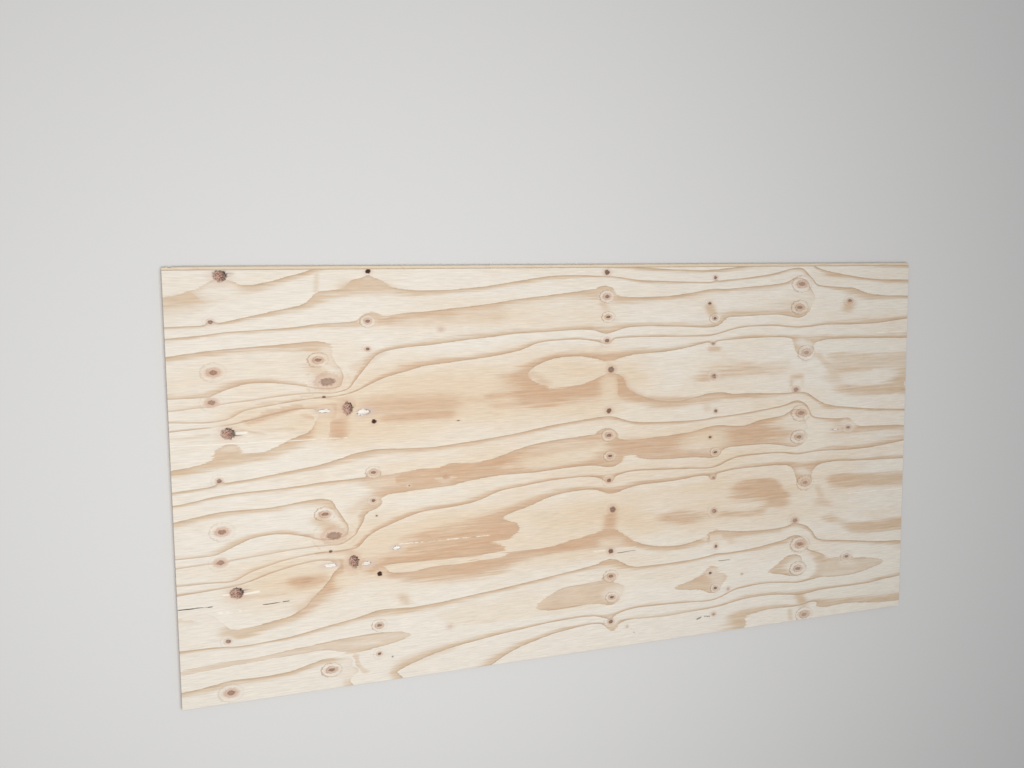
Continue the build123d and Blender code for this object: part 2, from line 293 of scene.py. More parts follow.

# Ring numbers between the lines, read one by one: the number, then along and up of each place that has it
ring_places = {
    -0.6: (120, 930, 250, 945, 120, 495, 250, 505),
    -0.55: (380, 930, 400, 500),
    -0.5: (0, 925, 430, 930, 0, 490, 430, 500),
    0.2: (520, 990),
    0.4: (430, 20),
    0.45: (1200, 1080, 400, 60),
    0.5: (600, 1030, 1000, 1065, 1500, 1075, 0, 20, 200, 35, 300, 40),
    0.6: (1700, 1095, 1200, 640, 440, 70),
    0.62: (700, 1050, 1100, 630),
    0.68: (800, 1050),
    0.7: (1900, 1100, 1050, 640, 1270, 660),
    0.72: (1620, 640),
    0.75: (460, 50),
    0.8: (920, 600),
    0.82: (500, 500),
    0.84: (1550, 630, 560, 130),
    0.86: (512, 528, 300, 125, 450, 130),
    0.88: (600, 585, 600, 130),
    0.9: (558, 536, 980, 640),
    0.92: (1200, 180, 1630, 175),
    0.93: (1370, 645, 1930, 665, 1100, 170, 1240, 190, 1580, 170, 1700, 190, 1930, 185, 1960, 180,
     1980, 220),
    0.94: (700, 600, 800, 605, 900, 620, 1400, 640, 1480, 640, 1750, 655),
    0.95: (1850, 660),
    0.97: (1720, 183),
    1.1: (600, 545, 400, 106, 1000, 160),
    1.15: (545, 500, 600, 530, 700, 130, 900, 145, 1480, 165),
    1.2: (0, 75, 150, 90, 300, 90, 495, 15, 1400, 170, 1800, 180),
    1.25: (540, 485),
    1.3: (2100, 1085, 520, 60),
    1.4: (2440, 1060),
    1.45: (600, 80),
    1.6: (1975, 260),
    1.7: (2100, 640, 2250, 630),
    1.75: (2440, 620),
    1.9: (2150, 160, 2070, 155),
    1.93: (2080, 180, 2120, 190, 2160, 190, 2200, 165, 2280, 170),
    1.95: (2060, 205, 2330, 170),
    2.3: (2420, 170),
    2.5: (500, 745, 560, 770, 850, 800, 700, 850, 560, 830, 500, 260),
    2.55: (440, 750, 620, 800, 700, 790, 760, 785, 900, 840, 100, 220),
    2.6: (425, 775, 420, 740, 560, 305, 640, 275, 720, 268, 800, 262, 900, 265, 0, 250, 60, 250, 400, 250,
     500, 320, 2410, 200),
    2.65: (1000, 300),
    2.7: (450, 300, 860, 10),
    2.75: (960, 850, 600, 390, 1050, 320),
    2.78: (700, 440),
    2.82: (800, 440),
    2.85: (800, 400, 600, 365, 640, 300, 960, 305, 150, 180),
    2.88: (900, 430, 700, 365, 850, 362),
    2.9: (1005, 870, 1010, 835, 1045, 808, 960, 430, 700, 300, 800, 298, 900, 300, 1260, 335, 470, 370,
     560, 360),
    2.92: (920, 361, 1240, 350),
    2.93: (420, 300, 160, 195, 360, 250),
    2.95: (1300, 368),
    3: (1305, 345),
    3.05: (2020, 70),
    3.08: (0, 300),
    3.12: (700, 340, 800, 341, 900, 344, 650, 336, 60, 300),
    3.2: (1310, 415, 150, 255),
    3.25: (1240, 895),
    3.3: (300, 775, 1150, 895, 1060, 430, 1240, 440, 1000, 20),
    3.35: (50, 730, 1150, 440),
    3.4: (200, 765, 2200, 400, 2350, 400, 150, 300, 250, 300),
    3.45: (1400, 880, 1500, 360, 2110, 400),
    3.5: (1500, 870, 2300, 828, 1450, 440, 2000, 430, 2050, 400, 1800, 365, 2250, 510, 2130, 375,
     2200, 352, 2260, 338, 2350, 338, 2440, 342, 2150, 310, 1200, 40, 1400, 40, 2200, 70),
    3.55: (2250, 838, 2250, 815, 2200, 758, 2350, 752, 1660, 470, 2070, 440, 2095, 372, 2200, 430,
     2300, 425, 2430, 420),
    3.6: (1800, 920, 2000, 870, 2040, 880, 2060, 850, 2350, 842, 2350, 822, 1690, 440, 1712, 470,
     1730, 500, 1985, 450, 2090, 450, 300, 320, 320, 350, 1550, 15, 1600, 25, 1560, 0, 1680, 30),
    3.62: (2200, 830),
    3.65: (1600, 875, 1900, 845, 1640, 425),
    3.68: (1780, 420, 1840, 420),
    3.7: (2090, 830, 1720, 50),
    3.75: (1750, 845, 2130, 800),
    3.78: (2410, 846),
    3.8: (1950, 880, 2110, 915, 2160, 830, 1740, 455),
    3.82: (1740, 865, 1850, 870),
    3.84: (2140, 890, 2200, 900, 2300, 900, 2200, 455),
    3.85: (1740, 396, 2110, 350),
    3.86: (2430, 900, 2110, 490, 2300, 450, 2430, 446),
    3.87: (2150, 342),
    3.88: (1650, 860, 1620, 850, 2430, 868, 1760, 495, 1840, 490, 1790, 485, 1850, 392, 2200, 322),
    3.9: (2180, 860, 2300, 866, 2200, 792, 2430, 770, 1500, 405, 1600, 392, 1850, 470, 1900, 500,
     1800, 455, 1900, 428, 2250, 310, 2350, 311, 2440, 316, 2100, 45),
    3.92: (2250, 785, 1930, 480, 1880, 455),
    3.93: (1560, 405, 1930, 412, 2250, 290, 330, 320, 360, 325, 1760, 50, 1780, 15, 1900, 60, 1960, 60,
     2200, 45),
    3.94: (1955, 450, 1952, 430, 2200, 478),
    3.95: (2300, 785, 2430, 825, 2350, 290, 390, 330, 1800, 50, 2300, 35),
    3.96: (2350, 788, 2400, 795, 2300, 474, 2430, 464, 2430, 290),
    3.97: (2430, 25),
    4: (1978, 30),
    4.02: (1850, 42, 1950, 44),
    4.05: (2350, 10),
    4.1: (1850, 15, 1970, 20, 2060, 60, 2200, 20),
    4.15: (2000, 40),
    4.2: (1900, 15),
}


def spaced(start, end, count, places, fine, coarse, reach):
    """Places from start to end, coarse apart, whose gaps fall to fine within reach of the given places."""
    trial = np.linspace(start, end, trial_count)
    near = np.exp(-(((trial[:, None] - np.array(places)[None]) / reach) ** 4)).max(axis=1)
    density = 1 / (coarse - (coarse - fine) * near)
    passed = np.concatenate([[0], np.cumsum((density[1:] + density[:-1]) / 2)])
    return np.interp(np.linspace(0, passed[-1], count), passed, trial)


def branch_spots():
    """Where each branch is cut, turn after turn. The distance peeled is radius times angle plus the spiral's
    growth."""
    found = []
    for share, along, *looks in branches:
        for turn in range(turn_count):
            angle = 2 * np.pi * (turn + share)
            peeled = outer_radius * angle + peel_per_turn * angle**2 / (4 * np.pi)
            if peeled < top_edge:
                found.append((along + drift_per_turn * (turn - 1), top_edge - peeled, *looks))
    return found


spots = np.array(branch_spots() + other_spots, float)

# Ring surface: a thin plate bent through every reading, with lengths along the sheet counted for less
along_share = 0.3
plate_ease = 100.0
longest_gap = 14.0
places_at_once = 4000


def plate_kernel(squared):
    """Half of r squared times log r squared, which is how a thin plate bends at distance r."""
    return 0.5 * squared * np.log(squared + 1e-9)


def ring_readings():
    """Every reading as (along, up, ring), with points spread evenly over the long gaps of each line."""
    parts = []
    for ring, numbers in ring_places.items():
        points = np.array(numbers, float).reshape(-1, 2)
        parts.append(np.c_[points, np.full(len(points), float(ring))])
    for ring, *numbers in ring_lines:
        points = np.array(numbers, float).reshape(-1, 2)
        runs = np.hypot(np.diff(points[:, 0]) * along_share, np.diff(points[:, 1]))
        pieces = np.maximum(1, np.ceil(runs / longest_gap)).astype(int)
        start = np.repeat(np.arange(len(pieces)), pieces)
        first = np.repeat(np.cumsum(pieces) - pieces, pieces)
        place = start + (np.arange(pieces.sum()) - first) / pieces[start]
        place = np.append(place, len(pieces))
        steps = np.arange(len(points))
        filled = np.c_[np.interp(place, steps, points[:, 0]), np.interp(place, steps, points[:, 1])]
        parts.append(np.c_[filled, np.full(len(filled), float(ring))])
    return np.concatenate(parts)


def bend_plate(readings):
    """Weights of a thin plate through the readings: one kernel a reading, plus a tilted plane."""
    at = readings[:, :2] * [along_share, 1]
    squared = ((at[:, None] - at[None]) ** 2).sum(axis=-1)
    count = len(at)
    system = np.zeros((count + 3, count + 3))
    system[:count, :count] = plate_kernel(squared) + np.eye(count) * plate_ease
    system[:count, count:] = np.c_[np.ones(count), at]
    system[count:, :count] = system[:count, count:].T
    return at, np.linalg.solve(system, np.append(readings[:, 2], [0, 0, 0]))


plate_at, plate_weights = bend_plate(ring_readings())


def ring_number(along, up):
    """Ring number at each place: the plate's kernels added up, a few thousand places at a time."""
    count = len(plate_at)
    places = np.c_[along.ravel() * along_share, up.ravel()]
    made = []
    for some in np.array_split(places, max(1, len(places) // places_at_once)):
        squared = (some[:, :1] - plate_at[None, :, 0]) ** 2 + (some[:, 1:] - plate_at[None, :, 1]) ** 2
        plane = plate_weights[count] + some @ plate_weights[count + 1 :]
        made.append(plate_kernel(squared) @ plate_weights[:count] + plane)
    return np.concatenate(made).reshape(along.shape)


# How far the fields of a spot and of a mark reach. A spot's reach grows with its size, between two limits.
spot_reach = (46.0, 33.0)
usual_spot = 16.0
least_spot, most_spot = 0.45, 1.6
mark_reach = 16.0


def edge_of(which):
    """True where any of a place's eight neighbours on the grid belongs to something else."""
    around_each = np.lib.stride_tricks.sliding_window_view(np.pad(which, 1, mode="edge"), (3, 3))
    return (around_each != which[..., None, None]).any(axis=(2, 3))


def nearest_of(measure, reach):
    """Which thing is nearest to each place, whether it is within reach, and whether it may show there."""
    nearest = measure.argmin(axis=-1)
    inside = measure.min(axis=-1) < reach
    return nearest, inside, inside & ~edge_of(np.where(inside, nearest, -1))


def picked(values, nearest):
    """The nearest thing's own value at each place."""
    return np.take_along_axis(values, nearest[..., None], -1)[..., 0]


def spot_fields(along, up):
    """For each place, its offset from the nearest spot and that spot's looks. None shows where two meet."""
    from_x = along[..., None] - spots[:, 0]
    from_y = up[..., None] - spots[:, 1]
    size = np.clip((spots[:, 2] + spots[:, 3]) / usual_spot, least_spot, most_spot)
    apart = ((from_x / spot_reach[0]) ** 2 + (from_y / spot_reach[1]) ** 2) / size**2
    nearest, inside, shown = nearest_of(apart, 1)
    place = np.stack([picked(from_x, nearest) * inside, picked(from_y, nearest) * inside, shown], axis=-1)
    looks = spots[nearest]
    return place, looks[..., 2:5], looks[..., 5:8], looks[..., 8], looks[..., 9]


def mark_fields(along, up):
    """For each place, how far along and off the nearest long mark it is, and that mark's looks."""
    lines = np.array(marks, float)
    run = lines[:, 2:4] - lines[:, 0:2]
    length = np.hypot(run[:, 0], run[:, 1])
    unit = run / length[:, None]
    from_x, from_y = along[..., None] - lines[:, 0], up[..., None] - lines[:, 1]
    onward = from_x * unit[:, 0] + from_y * unit[:, 1]
    aside = from_y * unit[:, 0] - from_x * unit[:, 1]
    past = np.maximum(0, np.maximum(-onward, onward - length))
    nearest, inside, shown = nearest_of(np.hypot(past, aside), mark_reach)
    to_end = picked(length / 2 - np.abs(onward - length / 2), nearest)
    place = np.stack([to_end * inside, picked(aside, nearest) * inside, shown], axis=-1)
    return place, lines[nearest][..., 4:7]


def stroke_field(given, along, up):
    """How much the given strokes add at each place. Each gives its strength times a bell across it and past
    its ends, twice as wide along the fibres, and the strongest one counts."""
    total = np.zeros(along.shape)
    for start_x, start_y, end_x, end_y, half_width, strength in given:
        run_x, run_y = end_x - start_x, end_y - start_y
        onward = ((along - start_x) * run_x + (up - start_y) * run_y) / (run_x**2 + run_y**2)
        onward = np.clip(onward, 0, 1)
        off_x, off_y = along - start_x - onward * run_x, up - start_y - onward * run_y
        bell = np.exp(-(((off_x / 2) ** 2 + off_y**2) / half_width**2) ** 1.5)
        total = np.where(np.abs(strength * bell) > np.abs(total), strength * bell, total)
    return total


# Lines of the section's grid, and where the outline turns on them
z_lines = np.array([
    0, arris, ply, 4.2, groove_under, tongue_under, 7.5, 9, 10.5, tongue_over, groove_over,
    5 * ply, 13.8, 6 * ply, thickness - arris, thickness,
])
face_lines = np.linspace(groove_floor, shoulder - arris, face_rows + 1)
y_lines = np.concatenate([
    [groove_edge, groove_edge + arris, groove_edge + 5.5], face_lines,
    [shoulder, shoulder + 4, tongue_tip - tongue_nose, tongue_tip],
])
last_y, last_z = len(y_lines) - 1, len(z_lines) - 1
floor_at, shoulder_at = 3, last_y - 3
groove_low, tongue_low, tongue_high, groove_high = 4, 5, 9, 10


def outline():
    """Corners of the section as places on the grid: a walk from turn to turn, anticlockwise seen from +X,
    from the lower face's groove side. The lower face takes only some of the grid's lines."""
    turns = np.array([
        (0, 0), (shoulder_at, 0), (shoulder_at, tongue_low), (last_y, tongue_low), (last_y, tongue_high),
        (shoulder_at, tongue_high), (shoulder_at, last_z), (0, last_z), (0, groove_high),
        (floor_at, groove_high), (floor_at, groove_low), (0, groove_low),
    ])
    back_steps = np.unique(np.append(np.arange(0, shoulder_at, back_every), shoulder_at))
    walked = [np.c_[back_steps[:-1], np.zeros(len(back_steps) - 1, int)]]
    for start, end in zip(turns[1:], np.roll(turns, -1, axis=0)[1:]):
        count = np.abs(end - start).max()
        walked.append(start + np.arange(count)[:, None] * np.sign(end - start))
    return np.concatenate(walked), back_steps


corners, back_steps = outline()
around = len(corners)


# Corners of the section that are cut to a flat: the place on the grid, and how far it moves in y and z
ease, nose = arris / 2, tongue_nose / 2
cut_corners = {
    (0, 0): (ease, ease), (0, last_z): (ease, -ease),
    (shoulder_at, 0): (-ease, ease), (shoulder_at, last_z): (-ease, -ease),
    (0, groove_low): (ease, -ease), (0, groove_high): (ease, ease),
    (last_y, tongue_low): (-nose, nose), (last_y, tongue_high): (-nose, -nose),
}


def eased():
    """Section coordinates of the outline, with each arris, lead-in and tongue corner moved to the middle of
    its flat."""
    places = np.column_stack([y_lines[corners[:, 0]], z_lines[corners[:, 1]]])
    for corner, move in cut_corners.items():
        places[(corners == corner).all(axis=1)] += move
    return places


def end_cells(stations):
    """The section's own cells at both ends: their inner points, then the corners of each cell's face.

    Cells in the lowest row span several grid lines above and one below, so they have more sides."""
    y_cell, z_cell = np.meshgrid(np.arange(last_y), np.arange(last_z), indexing="ij")
    in_groove = (y_cell < floor_at) & (z_cell >= groove_low) & (z_cell < groove_high)
    off_tongue = (y_cell >= shoulder_at) & ((z_cell < tongue_low) | (z_cell >= tongue_high))
    solid = ~(in_groove | off_tongue)
    padded = np.pad(solid, 1)
    inner = padded[1:, 1:] & padded[:-1, 1:] & padded[1:, :-1] & padded[:-1, :-1]
    inner_y, inner_z = np.nonzero(inner)
    inner_count = len(inner_y)
    points, quads, wides = [], [], []
    for end, station in enumerate((0, station_count - 1)):
        at = np.full((last_y + 1, last_z + 1), -1)
        at[corners[:, 0], corners[:, 1]] = station * around + np.arange(around)
        at[inner] = station_count * around + end * inner_count + np.arange(inner_count)
        points.append(np.c_[np.full(inner_count, stations[station]), y_lines[inner_y], z_lines[inner_z]])
        i, k = np.nonzero(solid & (z_cell > 0))
        quad = np.stack([at[i, k], at[i + 1, k], at[i + 1, k + 1], at[i, k + 1]], axis=1)
        first, second = back_steps[:-1], back_steps[1:]
        wide = np.c_[at[first, 0], at[second, 0], at[second[:, None] - np.arange(back_every + 1), 1]]
        quads.append(quad if end else quad[:, ::-1])
        wides.append(wide if end else wide[:, ::-1])
    return np.concatenate(points), np.concatenate(quads), np.concatenate(wides)


def veneer_fields(along, up):
    """Everything that a veneer's finish reads: ring number, spots and marks at each place."""
    ring = ring_number(along, up)
    by_station, by_row = np.gradient(ring)
    step_x, step_y = np.gradient(along, axis=0), np.gradient(up, axis=1)
    fields = {
        "ring": ring,
        "ring_slope": np.hypot(by_station / step_x, by_row / step_y),
        "tan": stroke_field(strokes, along, up),
        "warm": stroke_field(warm_zones, along, up),
    }
    spot_names = "spot_place", "spot_size", "spot_tone", "spot_loose", "spot_ringed"
    fields.update(zip(spot_names, spot_fields(along, up)))
    fields.update(zip(("mark_place", "mark_look"), mark_fields(along, up)))
    return fields


# Relief of the face, then the chips at the tongue's left end: their reach, depth and fade, and the pitch and
# start of the two waves that shape them
loose_depth, torn_depth = 0.7, 0.35
relief_rim, relief_slope = 1.15, 0.4
chipped_length, chip_depth, chip_fade = 44.0, 3.2, 12.0
chip_waves = ((0.41, 0.6), (0.173, 1.1))

# Places of the finishes in the sheet's list of materials
face_finish, back_finish, edge_finish, end_finish = range(4)


def dressed_sheet():
    """The sheet's skin: its section's outline carried along the length, and the section's cells at the ends.

    A station is a place along the length. Stations i and i + 1 and corners j and j + 1 bound one face."""
    ends = [-half_length, half_length]
    knots = [along - half_length for _, along, *_ in branches]
    stations = spaced(*ends, station_count, knots + ends, fine_step, coarse_step, fine_reach)
    tube = np.empty((station_count, around, 3))
    tube[..., 0] = stations[:, None]
    tube[..., 1:] = eased()
    on_face, on_back = corners[:, 1] == last_z, corners[:, 1] == 0
    for end in (0, station_count - 1):
        tube[end, on_face | on_back, 0] -= np.sign(stations[end]) * arris

    # The back is peeled the same way, and lies the other way round
    along, up = tube[..., 0] + half_length, tube[..., 1] - groove_edge
    fields = veneer_fields(along[:, on_face], up[:, on_face])
    back_fields = veneer_fields(2 * half_length - along[:, on_back], shoulder - groove_edge - up[:, on_back])

    # Loose knots have sunk and torn places are open: depth falls from the middle of the spot to its rim
    place, size = fields["spot_place"], fields["spot_size"]
    reach = np.hypot(place[..., 0] / size[..., 0], place[..., 1] / size[..., 1])
    sunk = np.clip(relief_rim - reach, 0, relief_slope) / relief_slope * place[..., 2]
    depth = sunk * (loose_depth * fields["spot_loose"] + torn_depth * fields["spot_tone"][..., 2])
    tube[1:-1, on_face, 2] -= depth[1:-1]

    # The tongue's first few centimetres are chipped: two waves multiplied, fading where the sound wood starts
    into = stations + half_length
    wave = np.prod([np.abs(np.sin(into * pitch + start)) for pitch, start in chip_waves], axis=0)
    chip = chip_depth * wave * np.clip((chipped_length - into) / chip_fade, 0, 1)
    at_tip = (corners[:, 0] >= last_y - 1) & (corners[:, 1] >= tongue_low) & (corners[:, 1] <= tongue_high)
    tube[:, at_tip, 1] -= chip[:, None]

    inner, end_quads, end_wides = end_cells(stations)
    points = np.concatenate([tube.reshape(-1, 3), inner]) * mm
    i, j = np.meshgrid(np.arange(station_count - 1), np.arange(around), indexing="ij")
    here, there = i * around, (i + 1) * around
    following = (j + 1) % around
    quads = np.stack([here + j, here + following, there + following, there + j], axis=-1)
    skin_slot = np.full(around, edge_finish)
    skin_slot[on_face & np.roll(on_face, -1)] = face_finish
    skin_slot[on_back & np.roll(on_back, -1)] = back_finish
    end_slots = np.full(len(end_quads) + len(end_wides), end_finish)
    slots = np.concatenate([np.tile(skin_slot, station_count - 1), end_slots])

    mesh = bpy.data.meshes.new("plywood_sheet_skin")
    mesh.from_pydata(points, [], quads.reshape(-1, 4).tolist() + end_quads.tolist() + end_wides.tolist())
    mesh.polygons.foreach_set("material_index", slots.astype(np.int32))
    for name, values in fields.items():
        width = values.shape[2] if values.ndim == 3 else 1
        whole = np.zeros((station_count, around, width))
        whole[:, on_face] = values.reshape(station_count, -1, width)
        whole[:, on_back] = back_fields[name].reshape(station_count, -1, width)
        whole = np.concatenate([whole.reshape(-1, width), np.zeros((len(inner), width))])
        kind, socket = ("FLOAT_VECTOR", "vector") if width == 3 else ("FLOAT", "value")
        attribute = mesh.attributes.new(name, kind, "POINT")
        attribute.data.foreach_set(socket, whole.astype(np.float32).ravel())
    mesh.update()
    mesh.validate()
    sheet = bpy.data.objects.new("plywood_sheet_dressed", mesh)
    bpy.context.scene.collection.objects.link(sheet)
    return sheet


sheet = dressed_sheet()


def linear(colour):
    """A colour written as sRGB hex, as the linear values that a shader takes."""
    steps = np.array([int(colour[i : i + 2], 16) for i in (1, 3, 5)]) / 255
    values = np.where(steps <= 0.04045, steps / 12.92, ((steps + 0.055) / 1.055) ** 2.4)
    return (*values.tolist(), 1.0)


# What the word after a node's kind sets
mode_of = {
    "Math": "operation", "VectorMath": "operation", "MapRange": "interpolation_type", "Mix": "data_type",
}


def add_node(tree, kind, *values, output=None, stops=(), **settings):
    """Adds a node with its settings, colour stops and links, and returns the socket of its result.

    The values go to its sockets in order. Another node's socket is linked, and a hex text is a colour. A
    setting that is named like a socket goes to that one. Values left over go on to a further node of the same
    kind, so one call can multiply several numbers."""
    kind_name, *mode = kind.split()
    node = tree.nodes.new("ShaderNode" + kind_name)
    if mode:
        setattr(node, mode_of[kind_name], mode[0])
    sockets = [socket for socket in node.inputs if socket.enabled]
    filled = list(zip(sockets, values))
    for name, value in settings.items():
        if name in node.inputs:
            filled.append((node.inputs[name], value))
        else:
            setattr(node, name, value)
    for socket, value in filled:
        if isinstance(value, bpy.types.NodeSocket):
            tree.links.new(value, socket)
        else:
            socket.default_value = linear(value) if isinstance(value, str) else value
    for number, (position, colour) in enumerate(stops):
        elements = node.color_ramp.elements
        element = elements[number] if number < len(elements) else elements.new(1.0)
        element.position, element.color = position, linear(colour)
    results = [socket for socket in node.outputs if socket.enabled]
    result = node.outputs[output] if output else results[0] if results else None
    left = values[len(sockets) :]
    return add_node(tree, kind, result, *left, **settings) if left else result


def new_finish(name):
    """An empty material, what adds a node to it, and its Object coordinates."""
    material = bpy.data.materials.new(name)
    material.use_nodes = True
    material.node_tree.nodes.clear()
    add = partial(add_node, material.node_tree)
    return material, add, add("TexCoord", output="Object")


def cells(length, width, depth=1000.0, lengthways=True):
    """Cells of a pattern in a metre on each axis, from the size of one in millimetres along the fibres,
    across them and through the sheet. The fibres lie along the sheet, or across it."""
    sizes = (length, width, depth) if lengthways else (width, length, depth)
    return [1000 / size for size in sizes]


def moved_about(add, value, pattern, amount):
    """The value plus the pattern's own distance from its middle, times the amount."""
    return add("Math SUBTRACT", add("Math MULTIPLY_ADD", pattern, amount, value), amount / 2)


def peeled_pine(name, early, warm_early, late, warm_late, line, pore_strength, roughness):
    """Rotary-cut pine veneer, dry and sanded. The knife crosses each ring at a flat angle, so one ring shows
    as a wide band: tan latewood that ends at a sharp line, then white earlywood. Fibres lie lengthways."""
    material, add, place = new_finish(name)

    # The sheet's own fields: numbers, and the three parts of vectors
    spot_loose, ringed, ring, slope, stroke_tan, warm = (
        add("Attribute", output="Fac", attribute_name=field)
        for field in ("spot_loose", "spot_ringed", "ring", "ring_slope", "tan", "warm")
    )
    spot_place, spot_size, spot_tone, mark_place, mark_look = (
        add("SeparateXYZ", add("Attribute", output="Vector", attribute_name=field)).node.outputs
        for field in ("spot_place", "spot_size", "spot_tone", "mark_place", "mark_look")
    )
    offset_x, offset_y, shown = spot_place
    radius_x, radius_y, dips = spot_size
    dark, red, torn_open = spot_tone
    to_end, off_line, mark_shown = mark_place
    half_width, tone, left_out = mark_look

    # Fibre bundles are about 1.6 mm wide and 90 mm long, and ragged ring edges follow them
    bundle = add("TexNoise", add("Mapping", place, Scale=cells(90, 1.6)), 1.0, 3.0, 0.6)
    band = add("TexNoise", add("Mapping", place, Location=(3.1, 0.7, 0), Scale=cells(160, 7)), 1.0, 3.0, 0.55)

    # Spots: distance from the middle in spot radii, made uneven by a pattern 8 mm by 6 mm
    uneven = add("TexNoise", add("Mapping", place, Scale=cells(8, 6)), 1.0, 2.0)
    across = add("Math DIVIDE", offset_x, radius_x)
    upward = add("Math DIVIDE", offset_y, radius_y)
    squared = add("Math MULTIPLY", across, across)
    squared = add("Math MULTIPLY_ADD", upward, upward, squared)
    smooth_reach = add("Math SQRT", squared)
    reach = moved_about(add, smooth_reach, uneven, 0.9)
    heart = add("MapRange SMOOTHSTEP", reach, 0.7, 1.15, 1.0, 0.0)
    halo = add("MapRange SMOOTHSTEP", reach, 1.0, 2.7, 1.0, 0.0)
    inner_rim = add("MapRange SMOOTHSTEP", reach, 0.72, 0.9, 0.0, 1.0)
    outer_rim = add("MapRange SMOOTHSTEP", reach, 1.0, 1.2, 1.0, 0.0)
    rim = add("Math MULTIPLY", outer_rim, inner_rim)

    # Rings: the log's own number, less a dip round each spot, plus the raggedness of the fibres
    near = add("Math MULTIPLY", squared, -0.28)
    near = add("Math EXPONENT", near)
    dip = add("Math MULTIPLY", near, shown, dips)
    ring = add("Math SUBTRACT", ring, dip)
    ring = add("Math MULTIPLY_ADD", bundle, 0.05, ring)
    ring = add("Math MULTIPLY_ADD", band, 0.06, ring)
    ring = add("Math SUBTRACT", ring, 0.055)
    share = add("Math FRACT", ring)

    # The tan starts at 0.68 of a ring, as the fibres add 0.275 on average, and ends at a sharp line
    fade = add("Math MULTIPLY_ADD", bundle, 0.3, share)
    fade = add("Math MULTIPLY_ADD", band, 0.25, fade)
    late_share = add("MapRange SMOOTHSTEP", fade, 0.68 + 0.275, 0.925 + 0.275)
    line_start = add("Math MULTIPLY_ADD", slope, -5.5, 0.985)
    line_share = add("MapRange SMOOTHSTEP", share, line_start, 0.995)
    steep = add("MapRange", slope, 0.003, 0.01)
    pale_share = add("MapRange SMOOTHSTEP", share, 0.0, 0.3, 1.0, 0.0)

    # Latewood is darker along some fibres than others, and strokes add to it or clear it
    streak = add("MapRange", bundle, 0.3, 0.7, 0.72, 1.05)
    banded = add("MapRange", band, 0.35, 0.62, 0.8, 1.12)
    left_tan = add("Math ADD", stroke_tan, 1.0, use_clamp=True)

    # Round a knot the rings are packed too close to show as a band, so the tan stays away from it
    cleared = add("Math MULTIPLY", squared, -0.13)
    cleared = add("Math EXPONENT", cleared)
    cleared = add("Math MULTIPLY", cleared, shown)
    uncleared = add("Math MULTIPLY_ADD", cleared, -0.85, 1.0)
    late_share = add("Math MULTIPLY", late_share, streak, left_tan, banded, uncleared)
    stroke_tan = add("Math MULTIPLY", stroke_tan, banded, streak)
    late_share = add("Math MAXIMUM", late_share, stroke_tan)

    # Wood colours: white earlywood and tan latewood, both warmer in some zones
    wide = add("TexNoise", add("Mapping", place, Scale=cells(350, 90)), 1.0, 4.0, 0.6)
    wide = add("MapRange", wide, 0.35, 0.68, -0.25, 0.35)
    warm = add("Math ADD", warm, wide, use_clamp=True)
    colour = add("Mix RGBA", warm, early, warm_early)
    tan = add("Mix RGBA", warm, late, warm_late)
    pale = add("Math MULTIPLY", pale_share, 0.2)
    colour = add("Mix RGBA", pale, colour, "#f6eee0")
    colour = add("Mix RGBA", late_share, colour, tan)
    line_share = add("Math MULTIPLY", line_share, steep, left_tan, 0.5)
    colour = add("Mix RGBA", line_share, colour, line)

    # Single fibres and resin ducts: real ones are 0.3 mm wide, drawn 0.8 mm so that they show.
    # Bundles of fibres 4 mm wide and 60 mm long show from across a room.
    fibre = add("TexNoise", add("Mapping", place, Scale=cells(30, 0.8)), 1.0, 2.0, 0.65)
    fibre_shade = add("MapRange", fibre, 0.3, 0.7, 0.9, 1.07)
    bundle_shade = add("MapRange", bundle, 0.3, 0.7, 0.92, 1.06)
    grain = add("TexNoise", add("Mapping", place, Location=(0, 5.3, 0), Scale=cells(60, 4)), 1.0, 3.0, 0.6)
    grain_shade = add("MapRange", grain, 0.3, 0.7, 0.925, 1.06)
    shade = add("Math MULTIPLY", fibre_shade, bundle_shade, grain_shade)
    colour = add("VectorMath SCALE", colour, shade)
    duct = add("MapRange", fibre, 0.70, 0.80, 0.0, pore_strength)
    colour = add("Mix RGBA", duct, colour, "#a98560")

    # Spots: a reddish halo, or a pale bruise where the wood is torn
    stain = add("Math MULTIPLY_ADD", red, 0.5, 0.22)
    sound = add("Math SUBTRACT", 1.0, torn_open)
    spread = add("MapRange", radius_x, 14.0, 24.0, 1.0, 0.6)
    stain = add("Math MULTIPLY", stain, halo, shown, sound, spread)
    colour = add("Mix RGBA", stain, colour, "#d0a488")
    bruise = add("Math MULTIPLY", halo, torn_open, shown, 0.6)
    colour = add("Mix RGBA", bruise, colour, "#d6c2b6")

    # The stem's rings, squeezed round the branch, show as two uneven loops, rounder than its heart and
    # clearer on the left
    ringed = add("Math MULTIPLY", ringed, shown)
    both = add("Math ADD", radius_x, radius_y)
    both = add("Math MULTIPLY", both, 0.25)
    loop_x = add("Math MULTIPLY_ADD", radius_x, 0.5, both)
    loop_x = add("Math DIVIDE", offset_x, loop_x)
    loop_y = add("Math MULTIPLY_ADD", radius_y, 0.5, both)
    loop_y = add("Math DIVIDE", offset_y, loop_y)
    loop = add("Math MULTIPLY", loop_x, loop_x)
    loop = add("Math MULTIPLY_ADD", loop_y, loop_y, loop)
    loop = add("Math SQRT", loop)
    loop = moved_about(add, loop, uneven, 1.6)
    collar = add("Math MULTIPLY", loop, 4.0)
    collar = add("Math COSINE", collar)
    collar = add("MapRange", collar, 0.25, 0.95)
    round_it = add("MapRange", loop, 3.35, 3.9, 0.62, 0.0)
    leftward = add("MapRange", across, -2.0, 2.5, 1.0, 0.35)
    round_it = add("Math MULTIPLY", round_it, leftward)
    collar = add("Math MULTIPLY", collar, round_it, ringed)
    colour = add("Mix RGBA", collar, colour, "#b08a6c")

